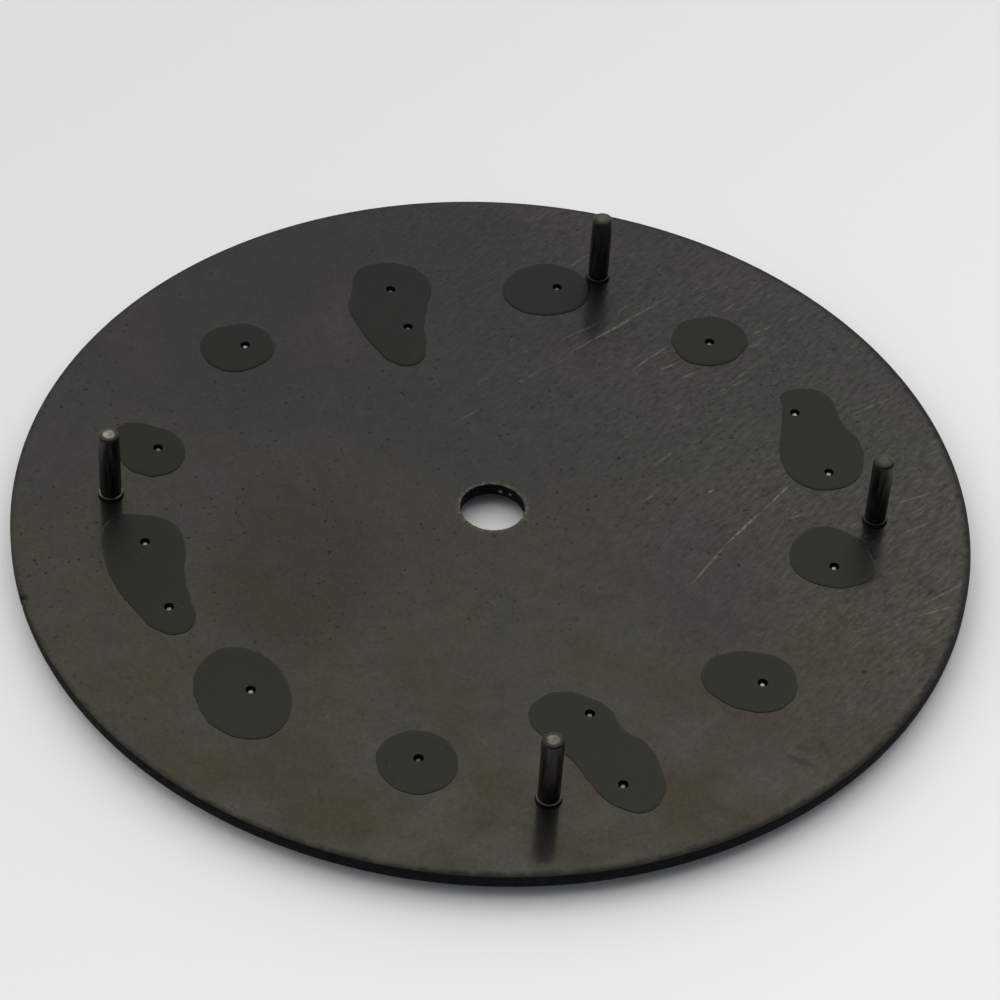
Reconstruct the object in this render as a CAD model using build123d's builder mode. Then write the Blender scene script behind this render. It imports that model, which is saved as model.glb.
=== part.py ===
"""Watch dial with applied hour markers and four feet, lying face down.

The origin is on the axis of the centre hole, in the plane of the dial's back. +Z points away from
the back, the way the feet stand, and +Y points to 12 o'clock. The dial's face looks along -Z.
Seen from the face, 3 o'clock lies on -X. Millimetres.
"""
import math
import os

from build123d import *
from build123d.topology import SkipClean

# Plate
dial_radius = 14.25
plate_thickness = 0.40
rim_break = 0.03
hole_radius = 0.96
seat_width = 1.65

# Feet: the place of each, as the angle from +X towards +Y and the distance in from the rim
foot_places = {
    "dial_foot_1": (161.5, 2.92),
    "dial_foot_2": (54.0, 3.08),
    "dial_foot_3": (-18.6, 2.83),
    "dial_foot_4": (-100.8, 2.74),
}
foot_radius = 0.32
foot_height = 2.45
foot_tip_round = 0.09
shoulder_radius = 0.385
shoulder_height = 0.14
shoulder_taper = 12

# Marker pins and the holes they pass through
hour_circle_margin = 3.97
pin_radius = 0.10
pin_recess = 0.05
pin_end_round = 0.06
pin_hole_radius = 0.15

# Markers at the twelve hours
marker_height = 0.50
marker_chamfer = 0.07
dot_radius = 1.00
dot_wall = 0.24
triangle_shift = 0.33
triangle_reach = 2.45
triangle_pocket_corner = 0.10
triangle_wall = 0.28
triangle_outer_pin = 0.26
triangle_inner_pin = 1.59
six_shift = 0.26
numeral_pin_spacing = 2.75
numeral_stroke = 0.72
numeral_wall = 0.19
six_bowl_radius = 0.86
six_hook_angle = 140
three_top_share = 0.45
three_sweep_angle = 235

# Luminous fill in the pocket of each marker
pocket_depth = 0.30
fill_recess = 0.05

# Minute ring printed on the face
print_thickness = 0.02
track_margin = 0.45
track_line = 0.09
minute_length = 0.55
minute_width = 0.09
hour_tick_length = 0.80
hour_tick_width = 0.22

# Adhesive drops over the pins on the back, seen from the back with 12 o'clock up. Each outline
# goes round the middle of its pins, in shares of a drop's usual radius.
adhesive_thickness = 0.025
adhesive_gap = 0.03
drop_radius = 1.00
drop_outline_shares = {
    1: [
        (-0.21, 1.08), (0.54, 0.85), (0.91, 0.10), (0.69, -0.65), (0.04, -1.05),
        (-0.66, -1.08), (-1.21, -0.65), (-1.38, 0.10), (-1.06, 0.85),
    ],
    2: [
        (-0.70, 1.34), (0.05, 1.06), (0.65, 0.46), (0.75, -0.29), (0.40, -0.94),
        (-0.20, -1.18), (-0.80, -0.94), (-1.25, -0.19), (-1.35, 0.66),
    ],
    3: [
        (-0.60, 2.62), (0.35, 2.47), (1.00, 1.90), (1.10, 1.00), (0.80, -0.10),
        (0.68, -1.20), (0.60, -2.05), (0.10, -2.48), (-0.55, -2.15), (-0.95, -1.25),
        (-1.28, 0.00), (-1.30, 1.10), (-1.10, 2.10),
    ],
    4: [
        (-0.20, 1.79), (0.70, 1.24), (1.05, 0.29), (0.95, -0.86), (0.35, -1.66),
        (-0.40, -1.81), (-1.20, -1.26), (-1.57, -0.16), (-1.40, 0.94), (-0.90, 1.54),
    ],
    5: [
        (-0.16, 1.07), (0.69, 0.80), (1.06, 0.05), (0.84, -0.80), (0.04, -1.27),
        (-0.81, -1.00), (-1.19, -0.10), (-0.96, 0.65),
    ],
    6: [
        (-1.13, 2.34), (-0.55, 2.44), (0.15, 2.02), (0.60, 1.37), (0.75, 0.52),
        (1.15, -0.08), (1.25, -0.98), (0.98, -2.03), (0.30, -2.48), (-0.40, -2.13),
        (-0.80, -1.28), (-1.05, -0.18), (-1.45, 0.72), (-1.72, 1.57), (-1.55, 2.07),
    ],
    7: [
        (-0.54, 1.40), (0.36, 1.15), (0.96, 0.55), (0.96, -0.25), (0.56, -0.85),
        (-0.14, -1.10), (-0.84, -0.85), (-1.49, -0.10), (-1.64, 0.60), (-1.24, 1.20),
    ],
    8: [
        (0.18, 1.72), (-0.55, 1.47), (-1.05, 0.90), (-1.18, 0.14), (-0.80, -0.50),
        (0.10, -0.90), (0.90, -0.70), (1.25, 0.14), (1.05, 1.04),
    ],
    9: [
        (0.00, 2.37), (0.65, 2.37), (1.20, 2.05), (1.35, 1.50), (1.25, 0.60),
        (1.45, -0.30), (1.20, -1.25), (0.65, -1.92), (-0.10, -2.10), (-0.80, -1.85),
        (-1.20, -1.10), (-1.10, -0.10), (-0.70, 0.75), (-0.30, 1.70),
    ],
    10: [
        (0.05, 1.23), (-0.80, 0.95), (-1.17, -0.05), (-0.90, -0.75), (-0.10, -1.06),
        (0.85, -0.70), (1.27, 0.05), (0.95, 0.87),
    ],
    11: [
        (-0.20, 1.27), (-1.30, 0.95), (-1.77, 0.05), (-1.60, -0.60), (-1.15, -1.00),
        (-0.20, -1.23), (0.50, -1.00), (0.95, -0.50), (1.03, 0.10), (0.60, 0.90),
    ],
    12: [
        (-0.10, 2.32), (0.67, 2.09), (1.20, 1.52), (1.28, 0.72), (0.85, -0.19),
        (0.50, -0.99), (0.28, -1.94), (-0.05, -2.49), (-0.50, -2.66), (-0.95, -2.39),
        (-1.25, -1.64), (-1.50, -0.39), (-1.55, 0.42), (-1.15, 1.32), (-0.80, 2.07),
    ],
}

hours = range(1, 13)
minutes_per_hour = 5
minute_count = 60
hour_angle = 360 / 12


def on_the_face(hour, radius):
    """Place at an hour, seen from the face with 12 o'clock up."""
    angle = math.radians(hour * hour_angle)
    return radius * math.sin(angle), radius * math.cos(angle)


def marker_radius(hour):
    """How far from the centre the middle of an hour's marker is."""
    inward_shifts = {6: six_shift, 12: triangle_shift}
    return dial_radius - hour_circle_margin - inward_shifts.get(hour, 0)


def marker_place(hour):
    """Middle of the marker of an hour, seen from the face."""
    return on_the_face(hour, marker_radius(hour))


def pin_places(hour):
    """Places of the marker's pins, seen from the face."""
    if hour == 12:
        middle = marker_radius(hour)
        radii = (middle + triangle_outer_pin, middle - triangle_inner_pin)
        return [on_the_face(hour, radius) for radius in radii]
    x, y = marker_place(hour)
    if hour in (3, 6, 9):
        half = numeral_pin_spacing / 2
        return [(x, y + half), (x, y - half)]
    return [(x, y)]


def on_the_back(place):
    """The same place, seen from the back."""
    return -place[0], place[1]


def face_plane(place, depth, turned=False):
    """Plane that looks out of the face, at a depth over it. Turned, it stands on its head."""
    x, y = on_the_back(place)
    sideways = (1, 0, 0) if turned else (-1, 0, 0)
    return Plane(origin=(x, y, -plate_thickness - depth), x_dir=sideways, z_dir=(0, 0, -1))


def six_outline(stroke, end_wall):
    """Numeral six: a ring, a straight stem and a hook at the top, which stops short by a wall."""
    hook_angle = six_hook_angle - math.degrees(end_wall / six_bowl_radius)
    ring_height = six_bowl_radius - numeral_pin_spacing / 2
    with BuildLine() as hook:
        Line((-six_bowl_radius, ring_height), (-six_bowl_radius, -ring_height))
        CenterArc((0, -ring_height), six_bowl_radius, 180, -hook_angle)
    trace(hook.line, line_width=stroke)
    with Locations((0, ring_height)):
        Circle(six_bowl_radius + stroke / 2)
        Circle(six_bowl_radius - stroke / 2, mode=Mode.SUBTRACT)


def three_outline(stroke, end_wall):
    """Numeral three: two open bowls that meet in the middle and stop short by a wall."""
    top_radius = numeral_pin_spacing / 2 * three_top_share
    low_radius = numeral_pin_spacing / 2 - top_radius
    top = numeral_pin_spacing / 2 - top_radius
    low = low_radius - numeral_pin_spacing / 2
    top_sweep = three_sweep_angle - math.degrees(end_wall / top_radius)
    low_sweep = three_sweep_angle - math.degrees(end_wall / low_radius)
    with BuildLine() as upper_bowl:
        CenterArc((0, top), top_radius, top_sweep - 90, -top_sweep)
    trace(upper_bowl.line, line_width=stroke)
    with BuildLine() as lower_bowl:
        CenterArc((0, low), low_radius, 90, -low_sweep)
    trace(lower_bowl.line, line_width=stroke)


def triangle_outline(wall):
    """Triangle with round corners that points to the centre hole, or its pocket with no wall."""
    corner_centres = triangle_reach - 2 * (triangle_wall + triangle_pocket_corner)
    with PolarLocations(corner_centres, 3, start_angle=-90):
        Circle(triangle_pocket_corner + wall)
    make_hull()


def marker_outline(hour, pocket=False):
    """Outline of a marker or, with its wall taken off all round, of its pocket."""
    wall = numeral_wall if pocket else 0
    if hour == 12:
        triangle_outline(0 if pocket else triangle_wall)
    elif hour == 3:
        three_outline(numeral_stroke - 2 * wall, wall)
    elif hour in (6, 9):
        six_outline(numeral_stroke - 2 * wall, wall)
    else:
        Circle(dot_radius - dot_wall if pocket else dot_radius)


def write(piece, name):
    piece.part.label = name
    export_step(piece.part, f"parts/{name}.step")


os.makedirs("parts", exist_ok=True)
all_pins = [on_the_back(place) for hour in hours for place in pin_places(hour)]

# Plate: a turned disc. The flat band that lies on the movement stays a face of its own, because
# the core joins it without merging their faces.
with BuildPart() as dial_plate:
    with BuildSketch(Plane.XY.offset(-plate_thickness)) as seat_band:
        Circle(dial_radius)
        Circle(dial_radius - seat_width, mode=Mode.SUBTRACT)
    extrude(amount=plate_thickness)
    rims = dial_plate.edges().filter_by(GeomType.CIRCLE).group_by(SortBy.RADIUS)[-1]
    chamfer(rims, length=rim_break)
    with BuildSketch(Plane.XY.offset(-plate_thickness)) as core:
        Circle(dial_radius - seat_width)
        Circle(hole_radius, mode=Mode.SUBTRACT)
        with Locations(*all_pins):
            Circle(pin_hole_radius, mode=Mode.SUBTRACT)
    with SkipClean():
        extrude(amount=plate_thickness, clean=False)
write(dial_plate, "dial_plate")

# Feet: a turned pin with a low tapered shoulder, welded to the back
foot_spots = {}
for name, (angle, margin) in foot_places.items():
    turn = math.radians(angle)
    radius = dial_radius - margin
    foot_spots[name] = (radius * math.cos(turn), radius * math.sin(turn))
    with BuildPart() as dial_foot:
        with BuildSketch(Plane.XY) as shoulder:
            with Locations(foot_spots[name]):
                Circle(shoulder_radius)
        extrude(amount=shoulder_height, taper=shoulder_taper)
        with BuildSketch(Plane.XY.offset(shoulder_height)) as shaft:
            with Locations(foot_spots[name]):
                Circle(foot_radius)
        extrude(amount=foot_height - shoulder_height)
        fillet(dial_foot.faces().sort_by(Axis.Z)[-1].edges(), radius=foot_tip_round)
    write(dial_foot, name)

# Hour markers: a frame with a pocket, in one piece with its pins. Then the fill of the pocket.
for hour in hours:
    place = marker_place(hour)
    turned = hour == 9
    with BuildPart() as hour_marker:
        with BuildSketch(face_plane(place, 0, turned)) as outline:
            marker_outline(hour)
        extrude(amount=marker_height)
        chamfer(hour_marker.faces().sort_by(Axis.Z)[0].edges(), length=marker_chamfer)
        with BuildSketch(face_plane(place, marker_height, turned)) as pocket:
            marker_outline(hour, pocket=True)
        extrude(amount=-pocket_depth, mode=Mode.SUBTRACT)
        with BuildSketch(Plane.XY.offset(-plate_thickness)) as pins:
            with Locations(*[on_the_back(spot) for spot in pin_places(hour)]):
                Circle(pin_radius)
        extrude(amount=plate_thickness - pin_recess)
        fillet(hour_marker.edges().group_by(Axis.Z)[-1], radius=pin_end_round)
    write(hour_marker, f"hour_marker_{hour:02d}")

    with BuildPart() as lume_fill:
        with BuildSketch(face_plane(place, marker_height - pocket_depth, turned)) as filling:
            marker_outline(hour, pocket=True)
        extrude(amount=pocket_depth - fill_recess)
    write(lume_fill, f"lume_fill_{hour:02d}")

# Minute ring: ticks that hang inwards from a thin line, printed on the face
track_radius = dial_radius - track_margin
with BuildPart() as minute_track:
    with BuildSketch(face_plane((0, 0), 0)) as ticks:
        Circle(track_radius)
        Circle(track_radius - track_line, mode=Mode.SUBTRACT)
        for minute in range(minute_count):
            on_hour = minute % minutes_per_hour == 0
            length = hour_tick_length if on_hour else minute_length
            width = hour_tick_width if on_hour else minute_width
            tick_radius = track_radius - track_line / 2 - length / 2
            with PolarLocations(tick_radius, 1, start_angle=minute * 360 / minute_count):
                Rectangle(length, width)
    extrude(amount=print_thickness)
write(minute_track, "minute_track")

# Adhesive drops: a thin film round each marker's pins, clear of the feet
for hour in hours:
    spots = [on_the_back(spot) for spot in pin_places(hour)]
    middle_x = sum(x for x, y in spots) / len(spots)
    middle_y = sum(y for x, y in spots) / len(spots)
    shares = drop_outline_shares[hour]
    outline_points = [(middle_x + u * drop_radius, middle_y + v * drop_radius) for u, v in shares]
    with BuildPart() as adhesive_spot:
        with BuildSketch(Plane.XY) as drop:
            with BuildLine():
                Spline(*outline_points, periodic=True)
            make_face()
            with Locations(*spots):
                Circle(pin_hole_radius, mode=Mode.SUBTRACT)
            with Locations(*foot_spots.values()):
                Circle(shoulder_radius + adhesive_gap, mode=Mode.SUBTRACT)
        extrude(amount=adhesive_thickness)
    write(adhesive_spot, f"adhesive_spot_{hour:02d}")
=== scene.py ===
"""Looks of the watch dial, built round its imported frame: face down on a pale card, back up.

The frame's origin is on the axis of the centre hole, in the plane of the dial's back. +Z points out
of the back, +Y to 12 o'clock. Pieces are modelled in millimetres, in that frame, and brought to
metres when they are finished.
"""
import math

import bmesh
import bpy
from mathutils import Matrix, Vector, noise


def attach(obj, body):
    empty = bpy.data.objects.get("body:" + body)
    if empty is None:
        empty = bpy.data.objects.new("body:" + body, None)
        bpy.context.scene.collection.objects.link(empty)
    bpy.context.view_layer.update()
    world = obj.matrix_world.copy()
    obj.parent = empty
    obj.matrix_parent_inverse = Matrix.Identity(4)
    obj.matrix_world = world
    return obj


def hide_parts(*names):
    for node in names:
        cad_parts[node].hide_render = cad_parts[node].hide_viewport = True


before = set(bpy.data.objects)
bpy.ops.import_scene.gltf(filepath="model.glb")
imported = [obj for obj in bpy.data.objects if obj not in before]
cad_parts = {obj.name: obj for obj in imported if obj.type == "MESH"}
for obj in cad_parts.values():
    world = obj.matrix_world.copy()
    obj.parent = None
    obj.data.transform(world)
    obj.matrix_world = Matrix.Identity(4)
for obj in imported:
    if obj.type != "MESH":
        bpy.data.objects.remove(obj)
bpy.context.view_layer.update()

MM = 0.001

# Modelling: points this close are merged, heights this close count as one, cutters reach this far
# over and under the plate, and edges that turn by more than the crease angle stay sharp
merge_distance = 0.0005
height_tolerance = 0.001
cut_reach = 1.0
crease_angle = 35

# Plate. A face whose normal rises less than wall_rise belongs to the rim or to the wall of a hole.
wall_rise = 0.3
dial_radius = 14.25
plate_sides = 360
plate_thickness = 0.40
rim_break = 0.03
hole_radius = 0.96
hole_sides = 144
hole_break = 0.035
nick_radius = 0.16
nick_place = (-dial_radius - 0.03, 0.16)

# Painted glints on the wall of the hole: the place and width of each
hole_glints = [(0.53, 0.80, -0.26, 0.16), (0.76, 0.59, -0.24, 0.13)]

# Feet: the place of each, as the angle from +X towards +Y and the distance in from the rim, and how
# far each is turned about itself after the one before it
foot_turn = 77
foot_places = {1: (161.5, 2.92), 2: (54.0, 3.08), 3: (-18.6, 2.83), 4: (-100.8, 2.74)}
# How worn each foot's tip is, which also sets its painted shoulder highlight
foot_wear_and_highlight = {1: 0.8, 2: 0.15, 3: 0.15, 4: 0.6}
foot_radius = 0.32
foot_sides = 56
foot_height = 2.45
foot_tip_round = 0.09
foot_tip_crown = 0.014
crown_steps = (0.05, 0.06)
shoulder_edge_round = 0.018
shoulder_radius = 0.385
shoulder_neck = 0.355
shoulder_height = 0.14

# Marker pins and the holes they pass through
hour_circle_margin = 3.97
pin_radius = 0.10
pin_sides = 32
pin_recess = 0.05
pin_end_round = 0.06
pin_hole_radius = 0.15
pin_hole_sides = 40
pin_overlap = 0.02
pin_tarnish = {
    1: 0.2, 2: 0.7, 3: 0.5, 4: 0.2, 5: 0.9, 6: 0.6, 7: 0.1, 8: 0.1, 9: 0.0, 10: 0.6, 11: 0.8, 12: 0.9,
}

# Markers at the twelve hours
marker_height = 0.50
marker_crease = 30
marker_chamfer = 0.07
dot_radius = 1.00
dot_sides = 96
dot_pocket_sides = 72
dot_wall = 0.24
triangle_shift = 0.33
triangle_reach = 2.45
triangle_pocket_corner = 0.10
triangle_corner_sides = 48
triangle_wall = 0.28
triangle_outer_pin = 0.26
triangle_inner_pin = 1.59
six_shift = 0.26
numeral_pin_spacing = 2.75
numeral_stroke = 0.72
numeral_wall = 0.19
six_bowl_radius = 0.86
six_hook_angle = 140
three_top_share = 0.45
three_sweep_angle = 235
numeral_chamfer = marker_chamfer * 0.8
numeral_chamfer_steps = (0.3, 0.7)
numeral_arc_step = 4
numeral_wall_room = numeral_wall * 1.3
pocket_depth = 0.30
fill_recess = 0.05
fill_edge = 0.05
fill_edge_sink = 0.02
same_plane_angle = 0.5
pocket_floor = marker_height - pocket_depth
fill_edge_height = marker_height - fill_recess - fill_edge_sink

# Adhesive drops over the pins, seen from the back with 12 o'clock up. Each outline goes round the
# middle of its pins. The edge rises steeply at first, then in steps: how far in and how high. A foot
# with its middle within foot_reach of a drop's middle is cut out of it. Noise of a fixed seed makes
# the outlines uneven: how far, and how finely.
adhesive_edge_height = 0.014
adhesive_edge_steps = [(0.012, 0.006), (0.04, 0.003), (0.10, 0.002)]
unevenness = 0.035
unevenness_per_mm = 2.5
unevenness_seed = 1
adhesive_gap = 0.03
drop_crease = 60
foot_reach = 4
drop_outlines = {
    1: [
        (-0.21, 1.08), (0.54, 0.85), (0.91, 0.10), (0.69, -0.65), (0.04, -1.05),
        (-0.66, -1.08), (-1.21, -0.65), (-1.38, 0.10), (-1.06, 0.85),
    ],
    2: [
        (-0.70, 1.34), (0.05, 1.06), (0.65, 0.46), (0.75, -0.29), (0.40, -0.94),
        (-0.20, -1.18), (-0.80, -0.94), (-1.25, -0.19), (-1.35, 0.66),
    ],
    3: [
        (-0.60, 2.62), (0.35, 2.47), (1.00, 1.90), (1.10, 1.00), (0.80, -0.10),
        (0.68, -1.20), (0.60, -2.05), (0.10, -2.48), (-0.55, -2.15), (-0.95, -1.25),
        (-1.28, 0.00), (-1.30, 1.10), (-1.10, 2.10),
    ],
    4: [
        (-0.20, 1.79), (0.70, 1.24), (1.05, 0.29), (0.95, -0.86), (0.35, -1.66),
        (-0.40, -1.81), (-1.20, -1.26), (-1.57, -0.16), (-1.40, 0.94), (-0.90, 1.54),
    ],
    5: [
        (-0.16, 1.07), (0.69, 0.80), (1.06, 0.05), (0.84, -0.80), (0.04, -1.27),
        (-0.81, -1.00), (-1.19, -0.10), (-0.96, 0.65),
    ],
    6: [
        (-1.13, 2.34), (-0.55, 2.44), (0.15, 2.02), (0.60, 1.37), (0.75, 0.52),
        (1.15, -0.08), (1.25, -0.98), (0.98, -2.03), (0.30, -2.48), (-0.40, -2.13),
        (-0.80, -1.28), (-1.05, -0.18), (-1.45, 0.72), (-1.72, 1.57), (-1.55, 2.07),
    ],
    7: [
        (-0.54, 1.40), (0.36, 1.15), (0.96, 0.55), (0.96, -0.25), (0.56, -0.85),
        (-0.14, -1.10), (-0.84, -0.85), (-1.49, -0.10), (-1.64, 0.60), (-1.24, 1.20),
    ],
    8: [
        (0.18, 1.72), (-0.55, 1.47), (-1.05, 0.90), (-1.18, 0.14), (-0.80, -0.50),
        (0.10, -0.90), (0.90, -0.70), (1.25, 0.14), (1.05, 1.04),
    ],
    9: [
        (0.00, 2.37), (0.65, 2.37), (1.20, 2.05), (1.35, 1.50), (1.25, 0.60),
        (1.45, -0.30), (1.20, -1.25), (0.65, -1.92), (-0.10, -2.10), (-0.80, -1.85),
        (-1.20, -1.10), (-1.10, -0.10), (-0.70, 0.75), (-0.30, 1.70),
    ],
    10: [
        (0.05, 1.23), (-0.80, 0.95), (-1.17, -0.05), (-0.90, -0.75), (-0.10, -1.06),
        (0.85, -0.70), (1.27, 0.05), (0.95, 0.87),
    ],
    11: [
        (-0.20, 1.27), (-1.30, 0.95), (-1.77, 0.05), (-1.60, -0.60), (-1.15, -1.00),
        (-0.20, -1.23), (0.50, -1.00), (0.95, -0.50), (1.03, 0.10), (0.60, 0.90),
    ],
    12: [
        (-0.10, 2.32), (0.67, 2.09), (1.20, 1.52), (1.28, 0.72), (0.85, -0.19),
        (0.50, -0.99), (0.28, -1.94), (-0.05, -2.49), (-0.50, -2.66), (-0.95, -2.39),
        (-1.25, -1.64), (-1.50, -0.39), (-1.55, 0.42), (-1.15, 1.32), (-0.80, 2.07),
    ],
}

hours = range(1, 13)
hour_angle = 360 / 12


def marker_place(hour):
    """Middle of the marker of an hour, on the back."""
    shifts = {6: six_shift, 12: triangle_shift}
    radius = dial_radius - hour_circle_margin - shifts.get(hour, 0)
    angle = math.radians(hour * hour_angle)
    return Vector((-radius * math.sin(angle), radius * math.cos(angle), 0))


def pin_places(hour):
    """Places of the marker's pins, on the back."""
    middle = marker_place(hour)
    if hour == 12:
        return [middle + Vector((0, triangle_outer_pin, 0)), middle - Vector((0, triangle_inner_pin, 0))]
    if hour in (3, 6, 9):
        half = Vector((0, numeral_pin_spacing / 2, 0))
        return [middle + half, middle - half]
    return [middle]


def foot_place(number):
    angle, margin = foot_places[number]
    radius = dial_radius - margin
    return Vector((radius * math.cos(math.radians(angle)), radius * math.sin(math.radians(angle)), 0))


# Modelling helpers

def activate(piece):
    """Makes the piece the only one that operators act on."""
    bpy.ops.object.select_all(action="DESELECT")
    piece.select_set(True)
    bpy.context.view_layer.objects.active = piece


def edit(piece):
    activate(piece)
    bpy.ops.object.mode_set(mode="EDIT")


def leave():
    bpy.ops.object.mode_set(mode="OBJECT")


def faces_up(normal):
    return normal.z > 0.99


def faces_down(normal):
    return normal.z < -0.99


def select_faces(piece, wanted):
    """Selects, in edit mode, the faces whose normal is wanted."""
    bpy.ops.mesh.select_mode(type="FACE")
    bpy.ops.mesh.select_all(action="DESELECT")
    mesh = bmesh.from_edit_mesh(piece.data)
    for face in mesh.faces:
        face.select_set(wanted(face.normal))
    bmesh.update_edit_mesh(piece.data)


def select_edges(piece, wanted):
    """Selects, in edit mode, the edges of which both ends are wanted."""
    bpy.ops.mesh.select_mode(type="EDGE")
    bpy.ops.mesh.select_all(action="DESELECT")
    mesh = bmesh.from_edit_mesh(piece.data)
    for edge in mesh.edges:
        edge.select_set(all(wanted(vertex.co) for vertex in edge.verts))
    bmesh.update_edit_mesh(piece.data)


def select_all():
    bpy.ops.mesh.select_all(action="SELECT")


def extrude(height):
    """Extrudes the selected faces straight up, or down."""
    bpy.ops.mesh.extrude_region_move(TRANSFORM_OT_translate={"value": (0, 0, height)})


def bevel(offset, segments):
    """Rounds the selected edges."""
    bpy.ops.mesh.bevel(offset=offset, segments=segments, profile=0.5, affect="EDGES")


def turn_out():
    """Turns all faces of a closed form outwards."""
    select_all()
    bpy.ops.mesh.normals_make_consistent(inside=False)


def turn_up(piece):
    """Turns all faces of a flat form upwards, and selects them."""
    select_faces(piece, lambda normal: normal.z < 0)
    bpy.ops.mesh.flip_normals()
    select_all()


def round_bar(name, radius, low, high, sides, place=(0, 0)):
    """A round bar between two heights, active and with its place in its mesh."""
    middle = (place[0], place[1], (low + high) / 2)
    bpy.ops.object.select_all(action="DESELECT")
    bpy.ops.mesh.primitive_cylinder_add(
        vertices=sides, radius=radius, depth=high - low, location=middle, end_fill_type="NGON"
    )
    bar = bpy.context.object
    bar.name = name
    bpy.ops.object.transform_apply(location=True, rotation=True, scale=True)
    return bar


def drill(radius, sides, place=(0, 0)):
    """A bar that cuts a hole through the disc or a drop."""
    return round_bar("drill", radius, -cut_reach, cut_reach, sides, place)


def joined(parts):
    """One object of several, under the first one's name."""
    activate(parts[0])
    for part in parts:
        part.select_set(True)
    bpy.ops.object.join()
    return parts[0]


def boolean(piece, tool, operation):
    """Cuts the tool from the piece, or adds it, and deletes the tool."""
    activate(piece)
    modifier = piece.modifiers.new("boolean", "BOOLEAN")
    modifier.object = tool
    modifier.operation = operation
    modifier.solver = "EXACT"
    bpy.ops.object.modifier_apply(modifier=modifier.name)
    bpy.data.objects.remove(tool)


def copied(piece, name):
    """A copy with its own mesh."""
    twin = piece.copy()
    twin.data = piece.data.copy()
    twin.name = name
    bpy.context.scene.collection.objects.link(twin)
    return twin


def flat_curve(name):
    """A curve in the plane, without a face of its own."""
    curve = bpy.data.curves.new(name, "CURVE")
    curve.dimensions = "2D"
    curve.fill_mode = "NONE"
    return curve


def outline_mesh(curve):
    """A curve's line as an object of edges."""
    piece = bpy.data.objects.new(curve.name, curve)
    bpy.context.scene.collection.objects.link(piece)
    activate(piece)
    bpy.ops.object.convert(target="MESH")
    return bpy.context.object


def finished(piece, name, materials, replaced, crease=crease_angle):
    """Closes a piece's slivers, brings it to metres, shades its flats flat and its rounds smooth, and
    puts it in the frame in place of its node."""
    edit(piece)
    select_all()
    bpy.ops.mesh.remove_doubles(threshold=merge_distance)
    leave()
    piece.data.transform(Matrix.Scale(MM, 4))
    activate(piece)
    bpy.ops.object.shade_smooth_by_angle(angle=math.radians(crease))
    modifier = piece.modifiers.new("normals", "WEIGHTED_NORMAL")
    modifier.keep_sharp = True
    bpy.ops.object.modifier_apply(modifier=modifier.name)
    piece.name = name
    piece.data.name = name
    piece.data.materials.clear()
    for material in materials:
        piece.data.materials.append(material)
    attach(piece, "root")
    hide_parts(replaced)


def labelled(piece, name, value):
    """Gives all of a piece one value that its material reads."""
    attribute = piece.data.attributes.new(name, "FLOAT", "POINT")
    attribute.data.foreach_set("value", [value] * len(piece.data.vertices))


# Material helpers

def linear(hex_colour):
    """Linear colour of an sRGB hex value."""
    levels = [int(hex_colour[i:i + 2], 16) / 255 for i in (1, 3, 5)]
    turned = [v / 12.92 if v <= 0.04045 else ((v + 0.055) / 1.055) ** 2.4 for v in levels]
    return (*turned, 1.0)


def add(tree, kind, inputs=(), output=0, **settings):
    """Adds a shader node with its settings. Its inputs, in order or by name, are values or other
    nodes' outputs. Gives the output that is asked for."""
    node = tree.nodes.new("ShaderNode" + kind)
    for name, value in settings.items():
        setattr(node, name, value)
    for key, value in inputs.items() if isinstance(inputs, dict) else enumerate(inputs):
        if isinstance(value, bpy.types.NodeSocket):
            tree.links.new(value, node.inputs[key])
        else:
            node.inputs[key].default_value = value
    return node.outputs[output] if len(node.outputs) else node


def new_material(name):
    """A material, its node tree and the place on the dial in millimetres."""
    material = bpy.data.materials.new(name)
    material.use_nodes = True
    tree = material.node_tree
    tree.nodes.clear()
    on_object = add(tree, "TexCoord", output="Object")
    place = add(tree, "Mapping", {"Vector": on_object, "Scale": (1 / MM,) * 3})
    return material, tree, place


def stretched(tree, place, middle, angle, length, width):
    """The place, in lengths and widths of a mark with a middle and an angle."""
    inputs = {
        "Vector": place,
        "Location": (*middle, 0),
        "Rotation": (0, 0, math.radians(angle)),
        "Scale": (length, width, 1),
    }
    return add(tree, "Mapping", inputs, vector_type="TEXTURE")


def spot(tree, place, middle, angle, length, width, strength=1.0):
    """A long or round mark with soft edges: its strength inside and 0 outside."""
    inside = stretched(tree, place, middle, angle, length / 2, width / 2)
    depth = add(tree, "TexGradient", [inside], "Fac", gradient_type="SPHERICAL")
    return add(tree, "MapRange", [depth, 0.0, 0.45, 0.0, strength])


# Materials

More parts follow.
